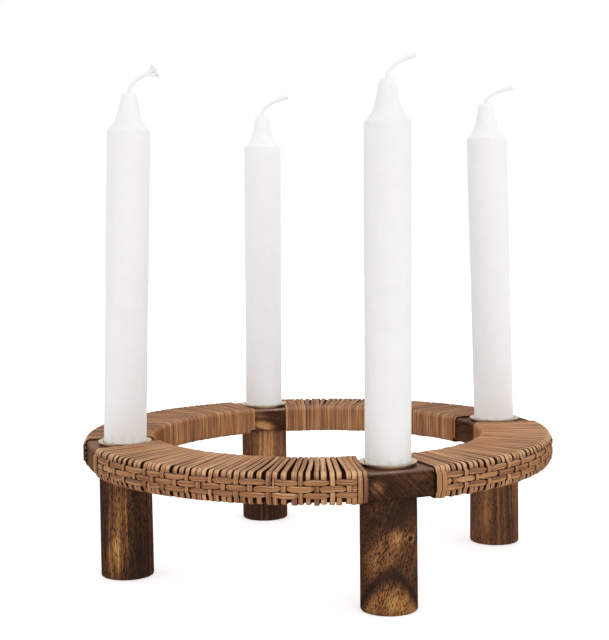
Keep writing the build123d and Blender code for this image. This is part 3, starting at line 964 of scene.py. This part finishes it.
def turn_stations(turns, number, start_angle, quarter):
    """Stations of one turn, swung to its angle on the ring."""
    own = WINDINGS[quarter]
    turn = turns[number]
    following = turns[min(number + 1, TURNS - 1)]
    for distance, height, out, up, part, share in ROUTE:
        if number == TURNS - 1 and (part == "next" or (part == "below" and share > LAST_SHARE)):
            return
        # How far the turn is from its place on the outer face to that on the inner face
        inward = {"inner": 1.0, "top": 1 - share, "outer": 0.0, "below": share, "next": 1.0}[part]
        inside = following if part in ("below", "next") else turn
        angle = turn["outer"] + (inside["inner"] - turn["outer"]) * inward
        if part == "top":
            angle += turn["bow"] * math.sin(math.pi * share) / distance
        angle += start_angle
        pressed = inward**PRESSED_POWER
        lift = (inside["spread"] + own["pile"] * MM) * pressed
        if part == "outer":
            lift += TURN_RISE * swell(height, turn["kind"])
        if up < 0:
            # Towards the front the turns hang a little slack under the ring
            toward_front = max(-math.sin(angle), 0.0) ** LOOSE_POWER
            slack = 0.5 + 0.5 * math.sin(SLACK_STEP * number)
            lift += LOOSENESS * slack * toward_front * -up * (1 - inward)
        # A painted highlight at the upper bends, and painted light and shade on the top, are added to the
        # cane's tone
        painted_highlight = 2 * (PAINTED_BEND_HIGHLIGHT * max(out, 0) + PAINTED_INNER_BEND_HIGHLIGHT * max(-out, 0)) * max(up, 0)
        painted_top_light = own["painted_top_light"] * max(up, 0)
        outward, side = swing(angle)
        normal = outward * out + UP * up
        yield {
            "place": outward * distance + UP * height + normal * lift,
            "out": normal,
            "side": side,
            "width": turn["width"] + (inside["inner_width"] - turn["width"]) * inward,
            "thick": CANE_THICK * (1 + (own["thick"] - 1) * pressed),
            "dome": 1 + (own["dome"] - 1) * pressed,
            "tone": turn["tone"] + (inside["tone"] - turn["tone"]) * inward + painted_highlight + painted_top_light,
        }


SPLINTERS = {  # loose split ends: angle in degrees, and in mm the root's height, the tip's rise and its reach
    "front_left": ((242.5, 66.5, -4.0, 0.2), (212.2, 60.8, -4.4, 2.4)),
}
SPLINTER_WIDTH = 0.6 * MM
SPLINTER_THICK = 0.35 * MM
SPLINTER_ROOT = CANE_GAP + CANE_THICK
SPLINTER_STAND = 2.2 * MM
SPLINTER_STEPS = 8
SPLINTER_TONE = 0.95


def splinter_stations(angle, height, rise, reach):
    """Stations of a split end that leaves the cane at a height and bends outward."""
    for share in shares(SPLINTER_STEPS):
        outward, side = swing(math.radians(angle) + reach * MM * share**2 / RING_OUTER)
        distance = RING_OUTER + SPLINTER_ROOT + SPLINTER_STAND * math.sin(0.5 * math.pi * share)
        yield {
            "place": outward * distance + UP * ((height + rise * share) * MM),
            "out": outward,
            "side": side,
            "width": SPLINTER_WIDTH,
            "thick": SPLINTER_THICK,
            "dome": 1.0,
            "tone": SPLINTER_TONE,
        }


for quarter, middle_angle in QUARTERS.items():
    start_angle = math.radians(middle_angle) - SECTION_ANGLE / 2
    store = new_store()
    winding = []
    for number in range(TURNS):
        winding += turn_stations(winding_turns[quarter], number, start_angle, quarter)
    add_strip(store, winding, 0)
    for splinter in SPLINTERS.get(quarter, ()):
        add_strip(store, list(splinter_stations(*splinter)), TURNS)
    piece = cane_piece(f"cane_winding_{quarter}", store, flip=True)
    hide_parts(f"wrap_{quarter}")
    print(piece.name, "has", len(store["points"]), "points")

# %% [markdown]
# ## Weaving the outer face
# A weaver is one flat strip that follows the outer face of a winding. Where it passes over turns it lies on
# them, and where it passes under one it dips to the wood. Both ends go under the winding's end turns.

# %% Weavers
ROW_NAMES = ("upper", "middle", "lower")
WEAVER_STEP = 0.45 * MM
DIP_REACH = 4.0 * MM
DIP_NARROWS_SHARE = 0.6  # how much narrower a weaver is where a turn squeezes it
END_TUCK_SHARE = 0.3  # how far it goes past the middle of an end turn, by that turn's width
SWAY = 0.24  # how far it strays from its height, in millimetres
BREADTH_SHARES = (0.95, 1.05)
WEAVER_TONE = 0.54
TONE_CHANGE = 0.05
TONE_RATE = 0.7
WEAVER_SEED = 100
SEEDS_PER_QUARTER = 10
WEAVER_NUMBER = 60  # the first weaver's strip number, well away from those of the windings


def weaver_stations(turns, row, start_angle, chance):
    """Stations of one weaver, from under the first end turns to under the last."""
    over = [turn for turn in turns if row in OVER_ROWS[turn["kind"]]]
    first = turns[0]["outer"] - END_TUCK_SHARE * turns[0]["width"] / RING_OUTER
    last = turns[-1]["outer"] + END_TUCK_SHARE * turns[-1]["width"] / RING_OUTER
    count = round((last - first) * RING_OUTER / WEAVER_STEP)
    sway = [chance.uniform(-SWAY, SWAY) * MM for _ in range(TURNS + 2)]
    broad = chance.uniform(*BREADTH_SHARES)
    for step in range(count + 1):
        angle = first + (last - first) * step / count
        dip = 0.0
        for turn in over:
            away = abs(angle - turn["outer"]) * RING_OUTER / DIP_REACH
            if away < 1:
                dip = max(dip, 0.5 + 0.5 * math.cos(math.pi * away))
        place = (angle - first) / (last - first) * TURNS
        here = int(place)
        drift = sway[here] + (sway[here + 1] - sway[here]) * smooth_step(place - here)
        outward, _ = swing(angle + start_angle)
        distance = RING_OUTER + CANE_GAP + CANE_THICK - WEAVER_DIP * dip
        yield {
            "place": outward * distance + UP * (ROW_HEIGHTS[row] + drift),
            "out": outward,
            "side": -UP,
            "width": WEAVER_WIDTH * broad * (1 - DIP_NARROWS_SHARE * dip),
            "thick": WEAVER_THICK,
            "dome": 1.0,
            "tone": WEAVER_TONE + TONE_CHANGE * math.sin(place * TONE_RATE + row),
        }


for seed, (quarter, middle_angle) in enumerate(QUARTERS.items()):
    start_angle = math.radians(middle_angle) - SECTION_ANGLE / 2
    for row, row_name in enumerate(ROW_NAMES):
        chance = random.Random(WEAVER_SEED + SEEDS_PER_QUARTER * seed + row)
        store = new_store()
        weaver = weaver_stations(winding_turns[quarter], row, start_angle, chance)
        add_strip(store, list(weaver), WEAVER_NUMBER + row)
        piece = cane_piece(f"cane_weaver_{row_name}_{quarter}", store)
        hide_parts(f"weaver_{row_name}_{quarter}")
print("weavers:", len(QUARTERS) * len(ROW_NAMES))

# %% [markdown]
# ## Braided wicks
# A wick is a cotton braid, stiff with wax. It runs through the whole candle, leaves the crown upright and
# bends over. Its line is a smooth curve drawn by a few control points, and a round tube follows that line.
# Wax fills the braid, so all that shows of its strands is a faint ripple. One wick has lost its wax at the
# tip, and there the fibres fan out.

# %% Cotton finish
THREAD_WIDTH = 0.3
THREAD_BUMP = 0.06
THREAD_DEPTH = 0.1
cotton, tree, shader = new_material("waxed_cotton_braid", Roughness=0.75, Specular_IOR_Level=0.1)
thread = mottle(tree, shader, THREAD_WIDTH, 3.0, [(0.3, "#f2f0ee"), (0.65, "#f6f4f2")])
bump = add_node(tree, "Bump", {"Height": thread, "Strength": THREAD_BUMP, "Distance": THREAD_DEPTH * MM})
tree.links.new(bump.outputs["Normal"], shader.inputs["Normal"])
print("cotton threads", THREAD_WIDTH, "mm")

# %% Wicks
LEAN_HEADING = math.radians(-18.0)  # the candles lean this way, and their wicks bend this way
CANDLE_LENGTH = 184.0
WICKS = {  # a candle's lean in degrees, its wick's reach and rise past the crown in mm, and the loose fibres
    "front": {"lean": 0.35, "reach": 12.7, "rise": 10.9, "fray": 0},
    "right": {"lean": -1.4, "reach": 15.0, "rise": 8.4, "fray": 0},
    "back": {"lean": 0.5, "reach": 15.4, "rise": 10.8, "fray": 0},
    "left": {"lean": 1.9, "reach": 13.6, "rise": 11.6, "fray": 18},
}
HELD_HEIGHT = 150.0  # of a control point in the wax, up from the foot
HELD_DEPTH = 4.0  # of the next one, down from the crown
WICK_TIP_SHARES = ((0.03, 0.3), (0.32, 0.64), (0.64, 0.85), (1.0, 1.0))  # of the reach and of the rise
WICK_POINTS_PER_RUN = 48
TUBE_SIDES = 10
WICK_RADIUS = 1.03 * MM
WICK_WAIST_SHARE = 0.18  # where the braid is drawn thin above the wax
WICK_FLARE_SHARE = 0.28  # at the cut end, where it opens
FREE_LENGTH = 20 * MM
BRAID_STEP = 3.2 * MM
BRAID_RIPPLE_SHARE = 0.02
FRAY_SEED = 7
FRAY_LENGTH = 8.0 * MM
FRAY_OPEN_SHARE = 0.7  # of that length, where the braid has gone
FRAY_KNEE_SHARE = 0.5  # of that length, where the fibres part
FRAY_SPREAD = ((-1.9, 3.4), (2.1, -3.6))  # reach and rise of the outer fibres from the tip, in millimetres
FRAY_BREADTH = 1.4  # how far they stray sideways, in millimetres
FRAY_RAGGED = 0.6  # how unequal their lengths are, in millimetres
FIBRE_RADIUS = 0.55 * MM  # each stands for a bunch of far finer fibres
FIBRE_TAPER_SHARE = 0.35
FIBRE_STEPS = 8


def candle_axes(side):
    """Foot, heading and axis of a candle. Its cup's box gives the place, its own box the foot's height."""
    lean = math.radians(WICKS[side]["lean"])
    forward, _ = swing(LEAN_HEADING)
    axis = forward * math.sin(lean) + UP * math.cos(lean)
    forward = (forward - axis * forward.dot(axis)).normalized()
    cup_low, cup_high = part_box(f"candle_cup_{side}")
    candle_low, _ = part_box(f"candle_{side}")
    centre = (cup_low + cup_high) / 2
    foot = centre + axis * ((candle_low.z - centre.z) / axis.z)
    return foot, forward, axis


def smooth_line(points):
    """Points along a smooth NURBS line with these control points."""
    curve = bpy.data.curves.new("wick_line", "CURVE")
    curve.dimensions = "3D"
    curve.resolution_u = WICK_POINTS_PER_RUN
    spline = curve.splines.new("NURBS")
    spline.points.add(len(points) - 1)
    for control, place in zip(spline.points, points):
        control.co = (*place, 1.0)
    spline.order_u = 3
    spline.use_endpoint_u = True
    holder = bpy.data.objects.new("wick_line", curve)
    mesh = bpy.data.meshes.new_from_object(holder)
    line = [vertex.co.copy() for vertex in mesh.vertices]
    bpy.data.objects.remove(holder)
    bpy.data.curves.remove(curve)
    bpy.data.meshes.remove(mesh)
    return line


def add_tube(points, faces, rings):
    """Adds a closed round tube. A ring is its centre, two directions across the tube and its radius."""
    first = len(points)
    for centre, side, up, radius in rings:
        for corner in range(TUBE_SIDES):
            angle = 2 * math.pi * corner / TUBE_SIDES
            points.append(centre + (side * math.cos(angle) + up * math.sin(angle)) * radius)
    add_skin(faces, first, len(rings), TUBE_SIDES)


def braid_rings(line, run, end, across):
    """Rings of the braid, as far along its line as the end."""
    for number, (place, far) in enumerate(zip(line, run)):
        if far > end:
            return
        ahead = line[min(number + 1, len(line) - 1)] - line[max(number - 1, 0)]
        up = ahead.normalized().cross(across).normalized()
        free = max(0.0, 1 - (run[-1] - far) / FREE_LENGTH)
        ripple = 1 + BRAID_RIPPLE_SHARE * math.sin(2 * math.pi * far / BRAID_STEP)
        shape = 1 - WICK_WAIST_SHARE * math.sin(math.pi * free) + WICK_FLARE_SHARE * free**2
        yield place, across, up, WICK_RADIUS * ripple * shape


def fibre_rings(root, knee, tip, across):
    """Rings of a loose fibre that bends at a knee."""
    for share in shares(FIBRE_STEPS):
        centre = root * (1 - share) ** 2 + knee * 2 * share * (1 - share) + tip * share**2
        along = (knee - root) * (1 - share) + (tip - knee) * share
        up = along.normalized().cross(across).normalized()
        side = up.cross(along).normalized()
        yield centre, side, up, FIBRE_RADIUS * (1 - FIBRE_TAPER_SHARE * share)


for side, wick in WICKS.items():
    foot, forward, axis = candle_axes(side)
    crown = foot + axis * CANDLE_LENGTH * MM
    across = axis.cross(forward)
    controls = [foot, foot + axis * HELD_HEIGHT * MM, crown - axis * HELD_DEPTH * MM, crown]
    for reach_share, rise_share in WICK_TIP_SHARES:
        past = forward * reach_share * wick["reach"] + axis * rise_share * wick["rise"]
        controls.append(crown + past * MM)
    line = smooth_line(controls)
    run = [0.0]
    for before, after in zip(line, line[1:]):
        run.append(run[-1] + (after - before).length)
    points, faces = [], []
    braid_end = run[-1] - FRAY_OPEN_SHARE * FRAY_LENGTH if wick["fray"] else run[-1]
    add_tube(points, faces, list(braid_rings(line, run, braid_end, across)))
    # A frayed tip: fibres leave the braid together and fan out to a slanting end
    chance = random.Random(FRAY_SEED)
    root = next(place for place, far in zip(line, run) if far > run[-1] - FRAY_LENGTH)
    ahead = (line[-1] - root).normalized()
    knee = root + ahead * FRAY_KNEE_SHARE * FRAY_LENGTH
    for fibre in range(wick["fray"]):
        share = (fibre + 0.5) / wick["fray"]
        reach, rise = (low + (high - low) * share for low, high in zip(*FRAY_SPREAD))
        stray = chance.uniform(-FRAY_BREADTH, FRAY_BREADTH)
        tip = line[-1] + (forward * reach + axis * rise + across * stray) * MM
        tip += ahead * chance.uniform(-FRAY_RAGGED, FRAY_RAGGED) * MM
        add_tube(points, faces, list(fibre_rings(root, knee, tip, across)))
    mesh = bpy.data.meshes.new(f"cotton_wick_{side}")
    mesh.from_pydata(points, [], faces)
    piece = smooth_piece(f"cotton_wick_{side}", mesh, cotton)
    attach(piece, f"candle_body_{side}")
    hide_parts(f"wick_{side}")
    length = run[-1] / MM
    print(piece.name, round(length), "mm long,", round(length - CANDLE_LENGTH), "mm of it above the wax")
